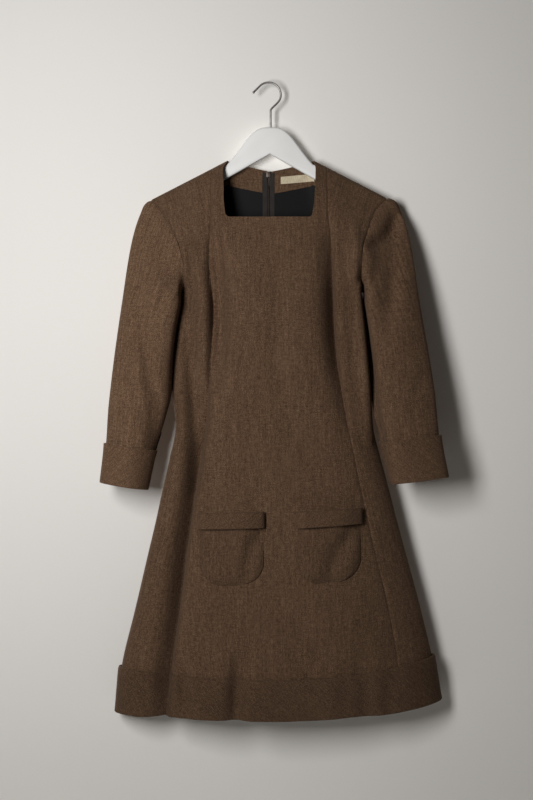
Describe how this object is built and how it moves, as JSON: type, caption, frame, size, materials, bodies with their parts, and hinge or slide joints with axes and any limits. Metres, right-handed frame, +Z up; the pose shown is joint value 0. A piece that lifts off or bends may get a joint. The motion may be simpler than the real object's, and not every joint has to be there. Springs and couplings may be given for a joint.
{
  "type": "a-line dress on a hanger",
  "caption": "A-line dress of brown wool tweed with princess seams, a square neck, patch pockets and turned-up bands, held on a flat hanger with a wire hook.",
  "frame": {"origin": "the highest point inside the hanger's hook, where a rail or a peg carries it", "axes": "+Z up, the dress faces -Y, +X to the viewer's right"},
  "size_m": [0.5555, 0.1168, 1.024],
  "materials": {
    "tweed": "matte woven wool",
    "bias_tweed": "matte woven wool, cut on the bias",
    "lining": "smooth lining",
    "label": "satin ribbon, blank",
    "zip_tape": "woven tape",
    "zip_metal": "dull nickel",
    "hanger_paint": "satin white",
    "hook_steel": "satin wire"
  },
  "bodies": {
    "root": {"front_centre_panel": "tweed", "front_side_panel_left": "tweed", "front_side_panel_right": "tweed", "back_panel_left": "tweed", "back_panel_right": "tweed", "hem_band_front": "bias_tweed", "hem_band_back": "bias_tweed", "sleeve_left": "tweed", "sleeve_right": "tweed", "cuff_left": "bias_tweed", "cuff_right": "bias_tweed", "pocket_left": "tweed", "pocket_right": "tweed", "pocket_band_left": "bias_tweed", "pocket_band_right": "bias_tweed", "neck_facing_left": "tweed", "neck_facing_right": "tweed", "back_lining_left": "lining", "back_lining_right": "lining", "label": "label", "zip_tape_left": "zip_tape", "zip_tape_right": "zip_tape", "zip_chain": "zip_tape", "zip_slider": "zip_metal", "hanger_body": "hanger_paint", "hanger_hook": "hook_steel"},
    "zip_pull": {"zip_pull": "zip_metal"}
  },
  "joints": [
    {"name": "zip_pull_swing", "type": "hinge", "parent": "root", "child": "zip_pull", "pos_m": [0, 0.01597, -0.14621], "axis": [1, 0, 0], "range_deg": [0, 160]}
  ]
}
